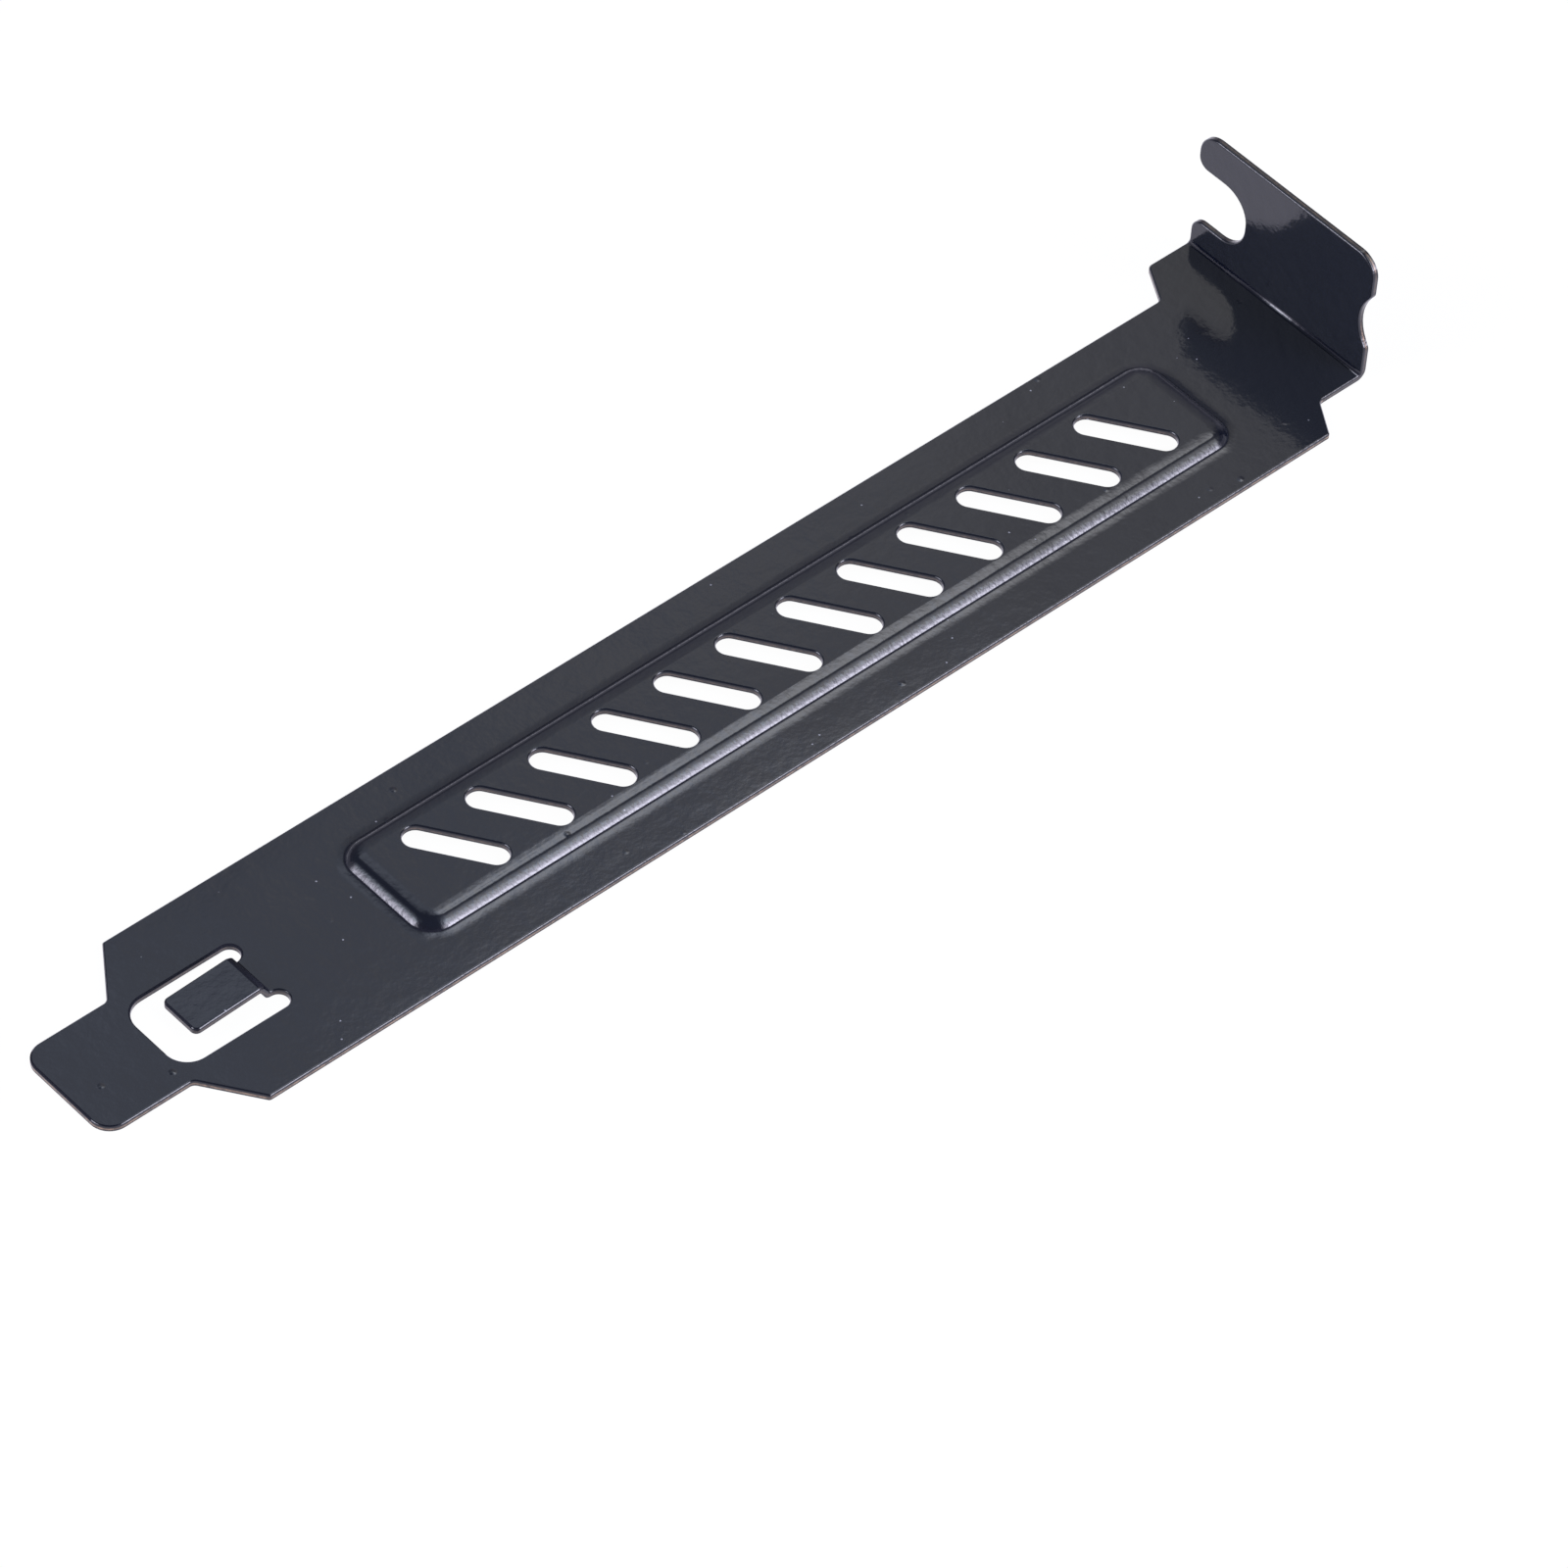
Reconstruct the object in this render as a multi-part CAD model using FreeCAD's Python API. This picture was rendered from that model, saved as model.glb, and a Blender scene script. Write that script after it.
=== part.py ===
import FreeCAD, Part
import os
from math import acos, cos, degrees, radians, sin, tan
from FreeCAD import Vector

# A slot cover bracket: one strip of sheet steel, punched, embossed and folded once.
# Drawing frame: X runs along the strip towards the flange and is 0 at the flange's outer
# face, Y is 0 on the strip's centre line, and Z is 0 on the flat back. All lengths are in mm.

# Sheet
thickness = 0.5
rim_width = 0.15           # the front edges, which the punch leaves broken
corner_radius = 0.3        # shoulders that look sharp
inner_corner_radius = 0.6  # where the outline turns inwards

# Strip, tongue and neck
overall_length = 120.0
body_width = 18.4
tongue_width = 9.46
tongue_length = 7.7
tongue_corner = 1.7
shoulder_run = 3.2
neck_length = 4.75
neck_slant_run = 1.9

# Flange, folded up at the end of the neck
flange_height = 12.0
flange_near_side = 6.2     # from the centre line to the side with the shallow notch
flange_far_side = 12.5     # from the centre line to the side with the screw notch
bend_radius = 0.3

# Open screw notch in the flange
screw_notch_width = 5.4
screw_notch_depth = 5.38
screw_notch_height = 5.75  # its middle, above the flat back
screw_notch_corner = 2.4

# Round corners of the flange, each as a share of the height of the finger it is on
far_corner_share = 0.563
near_corner_share = 0.521
upper_finger_share = 0.31
lower_finger_share = 0.533

# Shallow notch opposite the screw notch, level with it
side_notch_half_width = 2.7
side_notch_slant = 31.0
side_notch_radius = 4.1
side_notch_lip = 0.9

# Cut-out at the tongue and the tab left in it
window_start = 0.13        # past the shoulder of the tongue
window_length = 10.03
window_corner = 1.87
arm_width = 1.64
tab_width = 3.74
tab_end_gap = 2.42
tab_corner = 0.5
tab_rise = 1.0
tab_droop = 2.8
joggle_angle = 60.0
joggle_radius = 0.15

# Raised panel, pressed from the back: the strip first lifts gently, turns up at a tight
# crease, rolls over and eases into the flat top as gently as it rose
window_to_panel = 9.74
flange_to_panel = 11.3
panel_foot_width = 12.3
panel_rise = 0.77
panel_lift_angle = 7.0
panel_lift_radius = 7.0
panel_crease_radius = 0.12
panel_top_radius = 0.7
panel_corner = 0.3

# Slanted slots through the panel
slot_width = 2.01
slot_pitch = 5.95
slot_angle = 55.25
slot_end_margin = 4.5
slot_reach_share = 0.558   # how much of the panel's width at its foot the slots reach across
slot_row_shift = 0.1       # from the middle of the panel towards the flange

# Sizes that follow
body_half = body_width / 2
tongue_half = tongue_width / 2
tab_half = tab_width / 2
window_half = tab_half + arm_width
tongue_root_x = tongue_length - overall_length
window_start_x = tongue_root_x + window_start
window_end_x = window_start_x + window_length
hinge_x = window_end_x - arm_width / 2
shoulder_x = tongue_root_x + shoulder_run
neck_start_x = -neck_length
body_end_x = neck_start_x - neck_slant_run
bend_size = thickness + bend_radius


def direction(angle):
    """Unit vector in the XZ plane, at an angle in degrees from +X towards +Z."""
    return Vector(cos(radians(angle)), 0, sin(radians(angle)))


def outline(corners):
    """Closed outline in the XY plane from (x, y, radius) corners, each rounded by an arc."""
    count = len(corners)
    points = [Vector(x, y, 0) for x, y, radius in corners]
    ends = []
    for i, (x, y, radius) in enumerate(corners):
        corner = points[i]
        before = (points[i - 1] - corner).normalize()
        after = (points[(i + 1) % count] - corner).normalize()
        half_angle = before.getAngle(after) / 2
        reach = radius / tan(half_angle)
        middle = (before + after).normalize()
        arc_middle = corner + middle * (radius / sin(half_angle) - radius)
        ends.append((corner + before * reach, arc_middle, corner + after * reach, radius))
    edges = []
    for i, (start, arc_middle, end, radius) in enumerate(ends):
        if radius > 0:
            edges.append(Part.Arc(start, arc_middle, end).toShape())
        next_start = ends[(i + 1) % count][0]
        if end.distanceToPoint(next_start) > 1e-6:
            edges.append(Part.LineSegment(end, next_start).toShape())
    return Part.Face(Part.Wire(edges))


def strip_section(moves):
    """Section of the sheet in the XZ plane, from the origin and heading for +X.

    Each move is ("run", length) or ("turn", degrees, inside radius). A turn is upwards
    where its degrees are positive, and both skins stay one thickness apart.
    """
    back = Vector(0, 0, 0)
    heading = 0.0
    back_edges = []
    front_edges = []
    for move in moves:
        front = back + direction(heading + 90) * thickness
        if move[0] == "run":
            step = direction(heading) * move[1]
            back_edges.append(Part.LineSegment(back, back + step).toShape())
            front_edges.append(Part.LineSegment(front, front + step).toShape())
            back = back + step
            continue
        turn, inside_radius = move[1], move[2]
        side = 1 if turn > 0 else -1
        inner_start = front if turn > 0 else back
        centre = inner_start + direction(heading + 90 * side) * inside_radius
        reach = {"inner": inside_radius, "outer": inside_radius + thickness}
        arcs = {}
        for name, radius in reach.items():
            angles = [heading - 90 * side + turn * share for share in (0, 0.5, 1)]
            stops = [centre + direction(angle) * radius for angle in angles]
            arcs[name] = (stops, Part.Arc(*stops).toShape())
        back_name, front_name = ("outer", "inner") if turn > 0 else ("inner", "outer")
        back_edges.append(arcs[back_name][1])
        front_edges.append(arcs[front_name][1])
        back = arcs[back_name][0][2]
        heading += turn
    front = back + direction(heading + 90) * thickness
    start_cap = Part.LineSegment(Vector(0, 0, thickness), Vector(0, 0, 0)).toShape()
    end_cap = Part.LineSegment(back, front).toShape()
    edges = Part.sortEdges(back_edges + front_edges + [start_cap, end_cap])[0]
    return Part.Face(Part.Wire(edges))


def at(shape, x, y, z=0.0):
    """The shape moved from the origin to a place."""
    moved = shape.copy()
    moved.translate(Vector(x, y, z))
    return moved


def plate(face, height, low=0.0):
    """A plate of a given height over an outline, from a given level."""
    return at(face, 0, 0, low).extrude(Vector(0, 0, height))


def body_plate():
    """Flat strip with its tongue, shoulders and neck, up to the start of the bend."""
    half = [
        (-overall_length, tongue_half, tongue_corner),
        (tongue_root_x, tongue_half, inner_corner_radius),
        (shoulder_x, body_half, corner_radius),
        (body_end_x, body_half, inner_corner_radius),
        (neck_start_x, flange_far_side, inner_corner_radius),
        (-bend_size, flange_far_side, 0),
    ]
    other_half = [
        (-bend_size, -flange_near_side, 0),
        (neck_start_x, -flange_near_side, inner_corner_radius),
        (body_end_x, -body_half, corner_radius),
        (shoulder_x, -body_half, corner_radius),
        (tongue_root_x, -tongue_half, inner_corner_radius),
        (-overall_length, -tongue_half, tongue_corner),
    ]
    return plate(outline(half + other_half), thickness)


def window():
    """U-shaped cut-out: a wide end at the tongue and two round-ended arms beside the hinge."""
    arm_round = arm_width / 2
    return outline([
        (window_start_x, -window_half, window_corner),
        (window_end_x, -window_half, arm_round),
        (window_end_x, -tab_half, arm_round),
        (hinge_x, -tab_half, 0),
        (hinge_x, tab_half, 0),
        (window_end_x, tab_half, arm_round),
        (window_end_x, window_half, arm_round),
        (window_start_x, window_half, window_corner),
    ])


def tab():
    """Tab left by the cut-out: a joggle lifts it, and it droops a little to its free end."""
    tab_end_x = window_start_x + tab_end_gap
    tab_length = hinge_x - tab_end_x
    turn_rise = (2 * joggle_radius + thickness) * (1 - cos(radians(joggle_angle)))
    ramp = (tab_rise - turn_rise) / sin(radians(joggle_angle))
    section = strip_section([
        ("turn", joggle_angle, joggle_radius),
        ("run", ramp),
        ("turn", -joggle_angle - tab_droop, joggle_radius),
        ("run", tab_length),
    ])
    strip = at(section, 0, -tab_half).extrude(Vector(0, tab_width, 0))
    blank = outline([
        (0, -tab_half, 0),
        (tab_length, -tab_half, tab_corner),
        (tab_length, tab_half, tab_corner),
        (0, tab_half, 0),
    ])
    lifted = strip.common(plate(blank, tab_rise + 2 * thickness))
    lifted.rotate(Vector(0, 0, 0), Vector(0, 0, 1), 180)
    return at(lifted, hinge_x, 0)


def flange():
    """Folded end: the bend, and the upright plate with its two notches."""
    across = flange_near_side + flange_far_side
    notch_low = screw_notch_height - screw_notch_width / 2
    notch_high = screw_notch_height + screw_notch_width / 2
    notch_end = flange_far_side - screw_notch_depth
    upper_finger = flange_height - notch_high
    lower_finger = notch_low - bend_size
    side_low = screw_notch_height - side_notch_half_width
    side_high = screw_notch_height + side_notch_half_width
    side_apex = side_notch_half_width * tan(radians(side_notch_slant)) - flange_near_side
    upright = outline([
        (bend_size, -flange_near_side, 0),
        (bend_size, flange_far_side, 0),
        (notch_low, flange_far_side, lower_finger * lower_finger_share),
        (notch_low, notch_end, screw_notch_corner),
        (notch_high, notch_end, screw_notch_corner),
        (notch_high, flange_far_side, upper_finger * upper_finger_share),
        (flange_height, flange_far_side, upper_finger * far_corner_share),
        (flange_height, -flange_near_side, upper_finger * near_corner_share),
        (side_high, -flange_near_side, side_notch_lip),
        (screw_notch_height, side_apex, side_notch_radius),
        (side_low, -flange_near_side, side_notch_lip),
    ])
    upright_plate = plate(upright, thickness)
    upright_plate.rotate(Vector(0, 0, 0), Vector(0, 1, 0), -90)
    section = strip_section([("turn", 90, bend_radius)])
    bend = at(section, -bend_size, -flange_near_side).extrude(Vector(0, across, 0))
    return [bend, upright_plate]


def raised_panel(low_x, high_x):
    """Raised panel between two stations: four soft walls, four round corners and a flat top."""
    lift = radians(panel_lift_angle)
    gentle = 2 * panel_lift_radius + thickness
    tight = panel_crease_radius + panel_top_radius + thickness
    steep_rise = panel_rise - gentle * (1 - cos(lift))
    wall_angle = acos(cos(lift) - steep_rise / tight)
    wall_run = gentle * sin(lift) + tight * (sin(wall_angle) - sin(lift))
    steep_turn = degrees(wall_angle) - panel_lift_angle
    wall = strip_section([
        ("turn", panel_lift_angle, panel_lift_radius),
        ("turn", steep_turn, panel_crease_radius),
        ("turn", -steep_turn, panel_top_radius),
        ("turn", -panel_lift_angle, panel_lift_radius),
    ])
    foot_corner = panel_corner + wall_run
    middle_x = (low_x + high_x) / 2
    half_length = (high_x - low_x) / 2
    half_width = panel_foot_width / 2
    pieces = []
    for side in range(4):
        reach, breadth = (half_length, half_width) if side % 2 == 0 else (half_width, half_length)
        straight = 2 * (breadth - foot_corner)
        wall_piece = at(wall, -reach, -straight / 2).extrude(Vector(0, straight, 0))
        axis = Vector(foot_corner - reach, straight / 2, 0)
        corner_piece = at(wall, -reach, straight / 2).revolve(axis, Vector(0, 0, -1), 90)
        for piece in (wall_piece, corner_piece):
            piece.rotate(Vector(0, 0, 0), Vector(0, 0, 1), -90 * side)
            pieces.append(at(piece, middle_x, 0))
    foot = rounded_rectangle(middle_x, half_length, half_width, foot_corner)
    top = rounded_rectangle(middle_x, half_length - wall_run, half_width - wall_run, panel_corner)
    pieces.append(plate(top, thickness, panel_rise))
    slots = slot_row(middle_x, half_length - wall_run, half_width * slot_reach_share)
    return foot, pieces, slots


def rounded_rectangle(middle_x, half_length, half_width, radius):
    """Outline of a rectangle with four equal round corners."""
    signs = [(-1, -1), (1, -1), (1, 1), (-1, 1)]
    return outline([(middle_x + a * half_length, b * half_width, radius) for a, b in signs])


def slot_row(middle_x, half_length, reach):
    """Row of slanted round-ended slots, as many as the flat top has room for."""
    count = int(2 * (half_length - slot_end_margin) / slot_pitch) + 1
    half_straight = (reach - slot_width / 2) / sin(radians(slot_angle))
    half_long = half_straight + slot_width / 2
    half_wide = slot_width / 2
    signs = [(-1, -1), (1, -1), (1, 1), (-1, 1)]
    slot = outline([(a * half_long, b * half_wide, half_wide) for a, b in signs])
    slot.rotate(Vector(0, 0, 0), Vector(0, 0, 1), -slot_angle)
    first_x = middle_x + slot_row_shift - slot_pitch * (count - 1) / 2
    through = panel_rise + 2 * thickness
    return [plate(at(slot, first_x + slot_pitch * i, 0), through) for i in range(count)]


def fold_sheet():
    """The whole bracket as one solid, in the drawing frame."""
    foot, panel_pieces, slots = raised_panel(window_end_x + window_to_panel, -flange_to_panel)
    strip = body_plate().cut([plate(window(), thickness), plate(foot, thickness)])
    sheet = strip.fuse(flange() + panel_pieces + [tab()])
    return sheet.cut(slots).removeSplitter()


def normal_beside(face, edge):
    """Outward normal of a face at the middle of one of its edges."""
    spot = edge.valueAt((edge.FirstParameter + edge.LastParameter) / 2)
    return face.normalAt(*face.Surface.parameter(spot))


def front_rims(solid):
    """Sharp edges around the front skin, which is walked from its widest flat face."""
    neighbours = {}
    for face in solid.Faces:
        for edge in face.Edges:
            neighbours.setdefault(edge.hashCode(), []).append(face)
    flats = [face for face in solid.Faces if face.normalAt(0, 0).z > 0.99]
    waiting = [max(flats, key=lambda face: face.Area)]
    skin = {waiting[0].hashCode()}
    rims = []
    while waiting:
        face = waiting.pop()
        for edge in face.Edges:
            for other in neighbours[edge.hashCode()]:
                if other.isSame(face):
                    continue
                if normal_beside(face, edge).dot(normal_beside(other, edge)) < 0.9:
                    rims.append(edge)
                elif other.hashCode() not in skin:
                    skin.add(other.hashCode())
                    waiting.append(other)
    return rims


# The punch breaks the front rims and leaves the back ones sharp.
# The part's origin lies under the middle of its overall box.
middle_y = (flange_far_side - max(flange_near_side, body_half)) / 2
bracket = fold_sheet().Solids[0]
bracket = bracket.makeChamfer(rim_width, front_rims(bracket))
bracket.translate(Vector(overall_length / 2, -middle_y, 0))
os.makedirs("parts", exist_ok=True)
bracket.exportStep("parts/slot_cover.step")
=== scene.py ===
import bmesh
import bpy
from math import cos, radians, sin
from mathutils import Matrix, Vector


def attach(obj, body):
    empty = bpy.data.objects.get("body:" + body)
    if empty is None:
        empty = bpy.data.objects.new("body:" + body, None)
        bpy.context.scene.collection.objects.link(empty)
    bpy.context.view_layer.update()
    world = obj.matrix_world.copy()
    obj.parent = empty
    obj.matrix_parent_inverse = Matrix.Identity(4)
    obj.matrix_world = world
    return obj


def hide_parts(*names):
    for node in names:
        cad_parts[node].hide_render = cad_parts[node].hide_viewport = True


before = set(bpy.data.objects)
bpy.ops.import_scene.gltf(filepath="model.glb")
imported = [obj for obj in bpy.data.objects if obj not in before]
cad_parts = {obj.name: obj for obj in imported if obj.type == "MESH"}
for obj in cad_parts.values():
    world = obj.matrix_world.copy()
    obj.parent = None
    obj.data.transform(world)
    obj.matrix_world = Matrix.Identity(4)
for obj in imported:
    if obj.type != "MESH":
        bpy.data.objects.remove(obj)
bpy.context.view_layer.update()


# The sheet. The real bracket is one strip of sheet steel, punched, pressed and folded.
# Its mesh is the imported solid's own, with the seams between faces closed, so that light
# rolls over the broken front rims and the soft walls of the panel without a step.
mm = 0.001
seam = 0.0002 * mm
level_angle = radians(1)
smooth_angle = radians(30)
sharp_angle = radians(60)
rim_angles = radians(35), radians(55)
lies_flat = 0.99
strip_middle = -1.65 * mm
strip_end = 58.5 * mm
holes_start = -59 * mm
holes_end = 48 * mm
holes_half_width = 4.4 * mm
window_end = -40 * mm
# The walls of the holes show less bare steel and so come out darker: partly thicker paint, partly a painted
# shade of the holes.
wear_and_shade_in_holes = 0.3


def is_rim(face):
    """True for a face along a broken rim, which turns half way between two others."""
    low, high = rim_angles
    return sum(low < edge.calc_face_angle(0.0) < high for edge in face.edges) == 2


def round_normal(face, corner, rims):
    """Normal of a face at one of its corners: that of the faces it runs into, rims left out."""
    near = [f for f in corner.link_faces if f.normal.angle(face.normal) < sharp_angle]
    led_by = [f for f in near if f not in rims] or near
    return sum((f.normal * f.calc_area() for f in led_by), Vector()).normalized()


def on_outline(face):
    """True for a face on the strip's own outline, and not in a hole or on the flange."""
    spot = face.calc_center_median()
    in_a_hole = holes_start < spot.x < holes_end and abs(spot.y - strip_middle) < holes_half_width
    return spot.x < strip_end and not in_a_hole


def in_far_rim(face, rims):
    """True for a rim of the window on its far side, which gets the dull paint as a painted shade and stays
    dark.
    """
    spot = face.calc_center_median()
    return face in rims and spot.x < window_end and 0 < spot.y - strip_middle < holes_half_width


def skin_from(start):
    """One skin of the sheet: all that is reached from a face without a sharp turn."""
    found = {start}
    waiting = [start]
    while waiting:
        for edge in waiting.pop().edges:
            if edge.calc_face_angle(sharp_angle) < smooth_angle:
                new = set(edge.link_faces) - found
                found |= new
                waiting += new
    return found


form = bmesh.new()
form.from_mesh(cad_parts["slot_cover"].data)
bmesh.ops.remove_doubles(form, verts=form.verts, dist=seam)
bmesh.ops.dissolve_limit(form, angle_limit=level_angle, verts=form.verts, edges=form.edges)
rims = {face for face in form.faces if is_rim(face)}
by_size = sorted(form.faces, key=lambda face: face.calc_area())
front = skin_from([face for face in by_size if face.normal.z > lies_flat][-1])
back = skin_from([face for face in by_size if face.normal.z < -lies_flat][-1])
for face in form.faces:
    face.smooth = True
normals = [round_normal(face, loop.vert, rims) for face in form.faces for loop in face.loops]

# What the paint has to know of the sheet: how worn each punched edge is, which is less in the holes,
# partly for thicker paint there and partly as a painted shade of the holes; where a point lies
# between the back, 0, and the front, 1; and which rims take the dull paint as a painted shade.
skins = front | back | rims
back_points = {vert for face in back for vert in face.verts}
marks = {
    "cut": ("FACE", [
        0.0 if face in skins else 1.0 if on_outline(face) else wear_and_shade_in_holes
        for face in form.faces
    ]),
    "depth": ("POINT", [float(vert not in back_points) for vert in form.verts]),
    # The window's far rims are marked for the dull paint, a painted shade that takes away their highlight.
    "matt_shade": ("FACE", [float(in_far_rim(face, rims)) for face in form.faces]),
}
sheet_mesh = bpy.data.meshes.new("sheet")
form.to_mesh(sheet_mesh)
form.free()
for name, (domain, values) in marks.items():
    sheet_mesh.attributes.new(name, "FLOAT", domain).data.foreach_set("value", values)
sheet_mesh.normals_split_custom_set(normals)
sheet = bpy.data.objects.new("sheet", sheet_mesh)
bpy.context.scene.collection.objects.link(sheet)
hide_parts("slot_cover")
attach(sheet, "root")


# The paint. Black stoving enamel, sprayed on thin, which gives the eye a wet black shine
# over a faint orange peel. The rolled sheet under it is a little wavy and bowed. Dust fell
# into it: part of it lies under the skin as nibs, and part of it shows as grey specks.
def linear(hex_colour):
    """Linear colour, with full opacity, of an sRGB hex one."""
    channels = [int(hex_colour[i:i + 2], 16) / 255 for i in (1, 3, 5)]
    return (*(c / 12.92 if c <= 0.04045 else ((c + 0.055) / 1.055) ** 2.4 for c in channels), 1.0)


def add(tree, kind, inputs=None, **settings):
    """Adds a node. An input is a value, or the output socket that feeds it."""
    node = tree.nodes.new(kind)
    for name, value in settings.items():
        setattr(node, name, value)
    for key, value in (inputs or {}).items():
        if isinstance(value, bpy.types.NodeSocket):
            tree.links.new(value, node.inputs[key])
        else:
            node.inputs[key].default_value = value
    return node


def new_material(name):
    """An empty material, its node tree and its output node."""
    material = bpy.data.materials.new(name)
    material.use_nodes = True
    material.node_tree.nodes.clear()
    output = material.node_tree.nodes.new("ShaderNodeOutputMaterial")
    return material, material.node_tree, output


paint, tree, output = new_material("black_enamel")
place = add(tree, "ShaderNodeTexCoord").outputs["Object"]
axes = add(tree, "ShaderNodeSeparateXYZ", {0: place}).outputs

# The bow. On the half with the window the strip stands a little higher along its middle.
bow_start = -50 * mm
bow_full = -35 * mm
bow_wanes = 0.0
bow_end = 40 * mm
bow_curve = -1.7
across = add(tree, "ShaderNodeMath", {0: axes["Y"], 1: -strip_middle}, operation="ADD")
across = add(tree, "ShaderNodeMath", {0: across.outputs[0], 1: 2.0}, operation="POWER")
begins = add(tree, "ShaderNodeMapRange", {
    "Value": axes["X"],
    "From Min": bow_start,
    "From Max": bow_full,
}, interpolation_type="SMOOTHSTEP")
ends = add(tree, "ShaderNodeMapRange", {
    "Value": axes["X"],
    "From Min": bow_wanes,
    "From Max": bow_end,
    "To Min": bow_curve,
    "To Max": 0.0,
}, interpolation_type="SMOOTHSTEP")
bow = add(tree, "ShaderNodeMath", {0: begins.outputs[0], 1: ends.outputs[0]}, operation="MULTIPLY")
bow = add(tree, "ShaderNodeMath", {0: bow.outputs[0], 1: across.outputs[0]}, operation="MULTIPLY")
bowed = add(tree, "ShaderNodeBump", {"Height": bow.outputs[0], "Strength": 1.0, "Distance": 1.0})

# Slow waves of the rolled sheet, and a soft mottle and a fine peel in the enamel. Part of a
# real peel is finer than the render can show, so it is drawn as coarse as it needs to show.
wave_size = 16.67 * mm
wave_height = 0.2 * mm
mottle_size = 1.111 * mm
mottle_height = 0.012 * mm
peel_size = 0.3846 * mm
peel_height = 0.009 * mm
waves = add(tree, "ShaderNodeTexNoise", {"Vector": place, "Scale": 1 / wave_size, "Detail": 1.0})
mottle = add(tree, "ShaderNodeTexNoise", {"Vector": place, "Scale": 1 / mottle_size, "Detail": 0.0})
peel = add(tree, "ShaderNodeTexNoise", {"Vector": place, "Scale": 1 / peel_size, "Detail": 2.0})

# Draw marks, which the press left where it stretched the sheet: on the leaning walls of the
# panel and in the bend. They too are drawn as coarse as they need to show.
pull_size = 0.3333 * mm
pull_height = 0.02 * mm
lean_start = 0.97
lean_full = 0.85
steep = 0.4
upright = 0.2
facing = add(tree, "ShaderNodeSeparateXYZ", {0: add(tree, "ShaderNodeNewGeometry").outputs["Normal"]})
leaning = add(tree, "ShaderNodeMapRange", {
    "Value": facing.outputs["Z"],
    "From Min": lean_start,
    "From Max": lean_full,
})
short_of_upright = add(tree, "ShaderNodeMapRange", {
    "Value": facing.outputs["Z"],
    "From Min": upright,
    "From Max": steep,
})
drawn = add(tree, "ShaderNodeMath", {
    0: leaning.outputs[0],
    1: short_of_upright.outputs[0],
}, operation="MULTIPLY")
pull = add(tree, "ShaderNodeTexNoise", {"Vector": place, "Scale": 1 / pull_size, "Detail": 2.0})
pull = add(tree, "ShaderNodeMath", {0: pull.outputs["Fac"], 1: 0.5}, operation="SUBTRACT")
pull = add(tree, "ShaderNodeMath", {0: pull.outputs[0], 1: drawn.outputs[0]}, operation="MULTIPLY")


def specks(spacing, core, edge, share, easing):
    """Round specks, at most one to a cell of the spacing, in a share of the cells.

    A speck fades out between its core and its edge, which are parts of the spacing.
    """
    cells = add(tree, "ShaderNodeTexVoronoi", {"Vector": place, "Scale": 1 / spacing})
    speck = add(tree, "ShaderNodeMapRange", {
        "Value": cells.outputs["Distance"],
        "From Min": core,
        "From Max": edge,
        "To Min": 1.0,
        "To Max": 0.0,
    }, interpolation_type=easing)
    draw = add(tree, "ShaderNodeSeparateColor", {"Color": cells.outputs["Color"]})
    kept = add(tree, "ShaderNodeMath", {0: draw.outputs[0], 1: share}, operation="LESS_THAN")
    speck = add(tree, "ShaderNodeMath", {0: speck.outputs[0], 1: kept.outputs[0]}, operation="MULTIPLY")
    return speck.outputs[0]


nib_height = 0.03 * mm
nibs = specks(spacing=2.222 * mm, core=0.0, edge=0.16, share=0.2, easing="SMOOTHSTEP")
dust = specks(spacing=1.0 * mm, core=0.05, edge=0.09, share=0.15, easing="LINEAR")
relief = [
    (waves.outputs["Fac"], wave_height),
    (mottle.outputs["Fac"], mottle_height),
    (peel.outputs["Fac"], peel_height),
    (pull.outputs[0], pull_height),
    (nibs, nib_height),
]
surface = bowed.outputs["Normal"]
for pattern, pattern_height in relief:
    surface = add(tree, "ShaderNodeBump", {
        "Height": pattern,
        "Strength": 1.0,
        "Distance": pattern_height,
        "Normal": surface,
    }).outputs["Normal"]
colour = add(tree, "ShaderNodeMix", {
    "Factor": dust,
    6: linear("#0a0d17"),
    7: linear("#808189"),
}, data_type="RGBA")
enamel = add(tree, "ShaderNodeBsdfPrincipled", {
    "Base Color": colour.outputs[2],
    "Roughness": 0.11,
    "Normal": surface,
})

# Painted shade. The tight crease round the panel, and the rim on the far side of the window,
# get a dull, dark paint without shine, which stands in for the shade that darkens them.
crease_start = 0.54 * mm
crease_full = 0.556 * mm
crease_wanes = 0.6 * mm
crease_end = 0.65 * mm
panel_middle = 5.5 * mm
panel_half_length = 44.5 * mm
above = add(tree, "ShaderNodeMapRange", {
    "Value": axes["Z"],
    "From Min": crease_start,
    "From Max": crease_full,
}, interpolation_type="SMOOTHSTEP")
below = add(tree, "ShaderNodeMapRange", {
    "Value": axes["Z"],
    "From Min": crease_wanes,
    "From Max": crease_end,
    "To Min": 1.0,
    "To Max": 0.0,
}, interpolation_type="SMOOTHSTEP")
along = add(tree, "ShaderNodeMath", {0: axes["X"], 1: -panel_middle}, operation="ADD")
along = add(tree, "ShaderNodeMath", {0: along.outputs[0]}, operation="ABSOLUTE")
by_panel = add(tree, "ShaderNodeMath", {0: along.outputs[0], 1: panel_half_length}, operation="LESS_THAN")
# The painted shade of the crease: a thin band at the crease's height, along the panel.
crease_shade = add(tree, "ShaderNodeMath", {0: above.outputs[0], 1: below.outputs[0]}, operation="MULTIPLY")
crease_shade = add(tree, "ShaderNodeMath", {0: crease_shade.outputs[0], 1: by_panel.outputs[0]}, operation="MULTIPLY")
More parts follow.
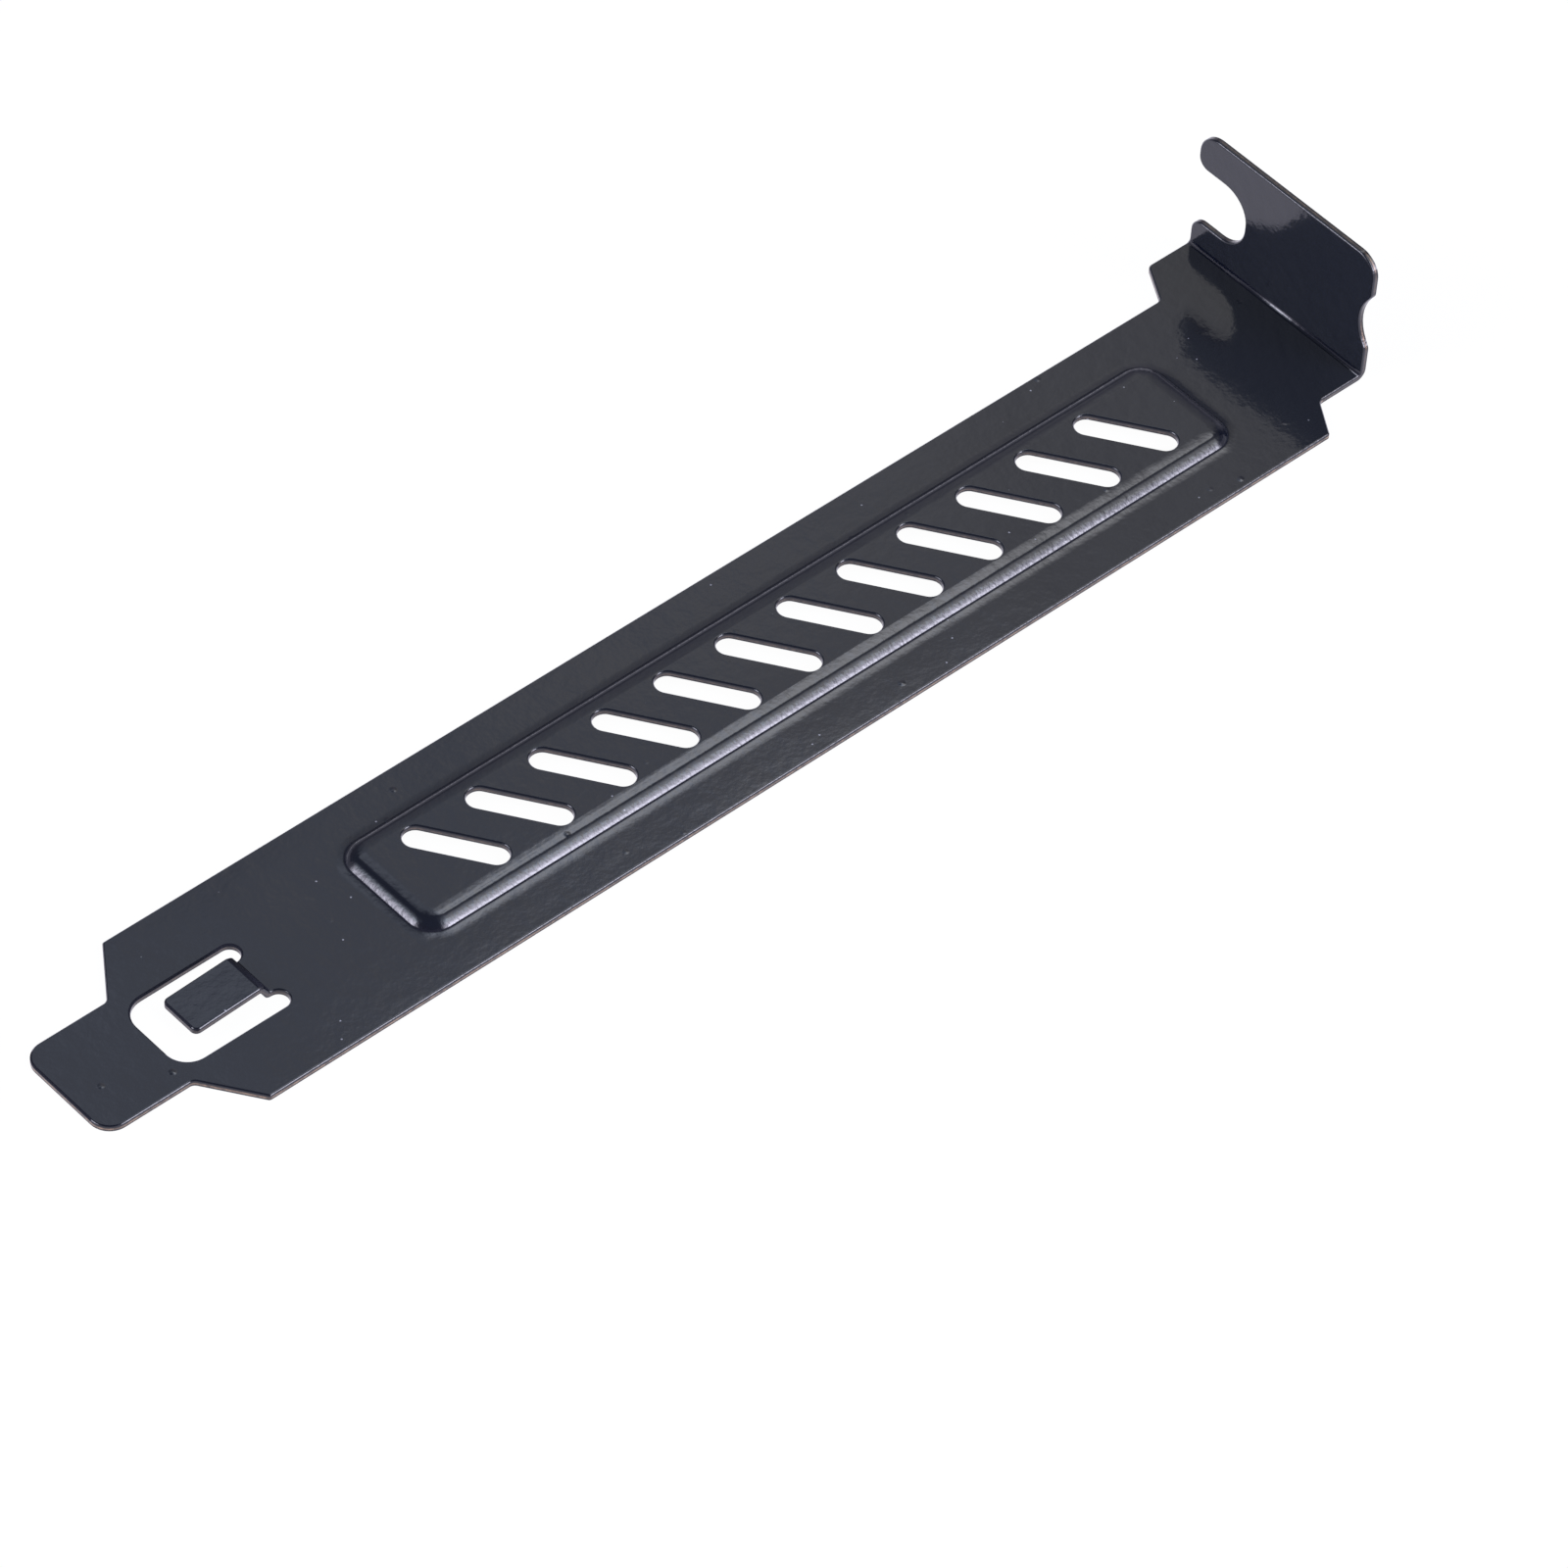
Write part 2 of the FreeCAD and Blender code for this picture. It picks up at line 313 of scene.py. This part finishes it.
# The window's far rims take the painted shade of the dull paint as well.
far_rim_shade = add(tree, "ShaderNodeAttribute", attribute_name="matt_shade").outputs["Fac"]
is_dull_shade = add(tree, "ShaderNodeMath", {0: crease_shade.outputs[0], 1: far_rim_shade}, operation="MAXIMUM")
dull_shade_paint = add(tree, "ShaderNodeBsdfPrincipled", {
    "Base Color": linear("#0a0c18"),
    "Roughness": 0.8,
    "Specular IOR Level": 0.2,
})
# The dull paint, a painted shade, is mixed in over the enamel where the shade lies.
covered = add(tree, "ShaderNodeMixShader", {0: is_dull_shade.outputs[0], 1: enamel.outputs[0], 2: dull_shade_paint.outputs[0]})

# The punched edges. The paint barely covers them, and a burnished band of mild steel shows
# half way down, warm grey and broken up, between the rolled rim and the torn foot of the cut.
band_level = 0.57
band_full = 0.05
band_end = 0.3
band_rest = 0.05
tear_size = 0.4 * mm
tear_height = 0.06 * mm
tear_low = 0.35
tear_high = 0.65
least_worn = 0.25
most_worn = 0.8
wear_and_shade = add(tree, "ShaderNodeAttribute", attribute_name="cut").outputs["Fac"]
level = add(tree, "ShaderNodeAttribute", attribute_name="depth").outputs["Fac"]
off = add(tree, "ShaderNodeMath", {0: level, 1: band_level}, operation="SUBTRACT")
off = add(tree, "ShaderNodeMath", {0: off.outputs[0]}, operation="ABSOLUTE")
band = add(tree, "ShaderNodeMapRange", {
    "Value": off.outputs[0],
    "From Min": band_full,
    "From Max": band_end,
    "To Min": 1.0,
    "To Max": band_rest,
})
tears = add(tree, "ShaderNodeTexNoise", {"Vector": place, "Scale": 1 / tear_size, "Detail": 2.0})
worn = add(tree, "ShaderNodeMapRange", {
    "Value": tears.outputs["Fac"],
    "From Min": tear_low,
    "From Max": tear_high,
    "To Min": least_worn,
    "To Max": most_worn,
})
bare = add(tree, "ShaderNodeMath", {0: band.outputs[0], 1: worn.outputs[0]}, operation="MULTIPLY")
# In the holes this share is smaller, partly for thicker paint and partly as a painted shade.
bare = add(tree, "ShaderNodeMath", {0: bare.outputs[0], 1: wear_and_shade}, operation="MULTIPLY")
torn = add(tree, "ShaderNodeBump", {
    "Height": tears.outputs["Fac"],
    "Strength": 1.0,
    "Distance": tear_height,
})
steel = add(tree, "ShaderNodeBsdfPrincipled", {
    "Base Color": linear("#b69d86"),
    "Metallic": 1.0,
    "Roughness": 0.4,
    "Normal": torn.outputs["Normal"],
})
coat = add(tree, "ShaderNodeMixShader", {0: bare.outputs[0], 1: covered.outputs[0], 2: steel.outputs[0]})
tree.links.new(coat.outputs[0], output.inputs["Surface"])
sheet_mesh.materials.append(paint)


# The floor. A plain white table top carries on past the picture and holds the bracket's
# shadow. It shows white, and the enamel mirrors it a little violet, and dimmer the farther
# off it lies.
reach = 3.0
drop = 0.02 * mm
fade_start = 100 * mm
fade_end = 300 * mm
far_share = 0.3
shown_share = 0.96
white = (1.0, 1.0, 1.0, 1.0)
mirrored_white = (1.12, 1.1, 1.28, 1.0)
floor_mesh = bpy.data.meshes.new("floor")
floor_mesh.from_pydata(
    [(-reach, -reach, 0), (reach, -reach, 0), (reach, reach, 0), (-reach, reach, 0)], [], [(0, 1, 2, 3)]
)
floor = bpy.data.objects.new("floor", floor_mesh)
floor.location.z = -drop
bpy.context.scene.collection.objects.link(floor)
table, tree, output = new_material("white_table")
shaded = add(tree, "ShaderNodeBsdfDiffuse", {"Color": linear("#e6e6e6")})
rays = add(tree, "ShaderNodeLightPath").outputs
tone = add(tree, "ShaderNodeMix", {
    "Factor": rays["Is Camera Ray"],
    6: mirrored_white,
    7: white,
}, data_type="RGBA")
glow = add(tree, "ShaderNodeEmission", {"Color": tone.outputs[2], "Strength": 1.01})
spot = add(tree, "ShaderNodeTexCoord").outputs["Object"]
distance = add(tree, "ShaderNodeVectorMath", {0: spot}, operation="LENGTH").outputs["Value"]
near = add(tree, "ShaderNodeMapRange", {
    "Value": distance,
    "From Min": fade_start,
    "From Max": fade_end,
    "To Min": 1.0,
    "To Max": far_share,
}, interpolation_type="SMOOTHSTEP").outputs[0]
shine = add(tree, "ShaderNodeMath", {0: rays["Is Glossy Ray"], 1: near}, operation="MULTIPLY").outputs[0]
seen = add(tree, "ShaderNodeMath", {0: rays["Is Camera Ray"], 1: shine}, operation="ADD")
seen = add(tree, "ShaderNodeMath", {0: seen.outputs[0], 1: rays["Is Transmission Ray"]}, operation="ADD")
share = add(tree, "ShaderNodeMath", {
    0: seen.outputs[0],
    1: shown_share,
}, operation="MULTIPLY", use_clamp=True)
both = add(tree, "ShaderNodeMixShader", {0: share.outputs[0], 1: shaded.outputs[0], 2: glow.outputs[0]})
tree.links.new(both.outputs[0], output.inputs["Surface"])
floor_mesh.materials.append(table)


# The light. A pale wall stands low all round, with a dim room above it. One column of soft
# lamps stands beside the strip's near long side and one towards its tongue, and four small
# lamps hang overhead, where the flat faces mirror them.
wall_top = sin(radians(12))
room_start = sin(radians(24))
wall_light = 0.55
room_light = 0.2
world = bpy.data.worlds.new("studio")
bpy.context.scene.world = world
world.use_nodes = True
tree = world.node_tree
tree.nodes.clear()
output = tree.nodes.new("ShaderNodeOutputWorld")
toward = add(tree, "ShaderNodeTexCoord").outputs["Generated"]


def soft_lamp(azimuth, elevation, strength, width):
    """Brightness of a round soft lamp that fades out over its width in degrees."""
    a, e = radians(azimuth), radians(elevation)
    centre = (cos(a) * cos(e), sin(a) * cos(e), sin(e))
    near = add(tree, "ShaderNodeVectorMath", {0: toward, 1: centre}, operation="DOT_PRODUCT")
    falloff = 1 / (1 - cos(radians(width)))
    away = add(tree, "ShaderNodeMath", {0: 1.0, 1: near.outputs["Value"]}, operation="SUBTRACT")
    power = add(tree, "ShaderNodeMath", {0: away.outputs[0], 1: -falloff}, operation="MULTIPLY")
    fade = add(tree, "ShaderNodeMath", {0: power.outputs[0]}, operation="EXPONENT")
    return add(tree, "ShaderNodeMath", {0: fade.outputs[0], 1: strength}, operation="MULTIPLY").outputs[0]


height = add(tree, "ShaderNodeSeparateXYZ", {0: toward}).outputs["Z"]
total = add(tree, "ShaderNodeMapRange", {
    "Value": height,
    "From Min": wall_top,
    "From Max": room_start,
    "To Min": wall_light,
    "To Max": room_light,
}, interpolation_type="SMOOTHSTEP").outputs[0]
side_column = [
    soft_lamp(-68, 8, 20.0, 13),
    soft_lamp(-66, 28, 7.5, 13),
    soft_lamp(-56, 44, 5.5, 12),
    soft_lamp(-30, 57, 2.2, 12),
]
tongue_column = [
    soft_lamp(160, 12, 11.0, 14),
    soft_lamp(156, 28, 8.0, 13),
    soft_lamp(146, 44, 3.2, 12),
]
overhead = [
    soft_lamp(32, 56.5, 4.6, 6.5),
    soft_lamp(47, 43.5, 0.4, 3),
    soft_lamp(59, 51, 1.0, 4.7),
    soft_lamp(46, 42, 0.62, 13),
]
for lamp in side_column + tongue_column + overhead:
    total = add(tree, "ShaderNodeMath", {0: total, 1: lamp}, operation="ADD").outputs[0]

# The light is cool, but for neutral light from past the flange and violet light low down.
cool = (0.9, 0.98, 1.16, 1.0)
neutral = (0.99, 0.99, 1.02, 1.0)
violet = (1.0, 0.985, 1.18, 1.0)
neutral_start = 0.42
neutral_full = 0.5
violet_start = 0.66
violet_full = 0.5
past_flange = add(tree, "ShaderNodeMapRange", {
    "Value": add(tree, "ShaderNodeSeparateXYZ", {0: toward}).outputs["X"],
    "From Min": neutral_start,
    "From Max": neutral_full,
})
tint = add(tree, "ShaderNodeMix", {
    "Factor": past_flange.outputs[0],
    6: cool,
    7: neutral,
}, data_type="RGBA")
low_down = add(tree, "ShaderNodeMapRange", {
    "Value": height,
    "From Min": violet_start,
    "From Max": violet_full,
})
tint = add(tree, "ShaderNodeMix", {
    "Factor": low_down.outputs[0],
    6: tint.outputs[2],
    7: violet,
}, data_type="RGBA")
sky = add(tree, "ShaderNodeBackground", {"Color": tint.outputs[2], "Strength": total})
tree.links.new(sky.outputs[0], output.inputs["Surface"])


# The camera, at the photographed angle.
camera_place = Vector((-0.29895, -0.30786, 0.45262))
camera_aim = Vector((-0.00175, -0.01120, 0.0))
camera_roll = radians(4.25)
camera_data = bpy.data.cameras.new("camera")
camera_data.lens = 198.1
camera_data.sensor_width = 36.0
camera_data.clip_start = 0.01
camera = bpy.data.objects.new("camera", camera_data)
bpy.context.scene.collection.objects.link(camera)
camera.location = camera_place
turned = (camera_aim - camera_place).to_track_quat("-Z", "Y").to_matrix().to_4x4()
turned = turned @ Matrix.Rotation(camera_roll, 4, "Z")
camera.rotation_euler = turned.to_euler()
bpy.context.scene.camera = camera

bpy.context.scene.view_settings.view_transform = "Standard"
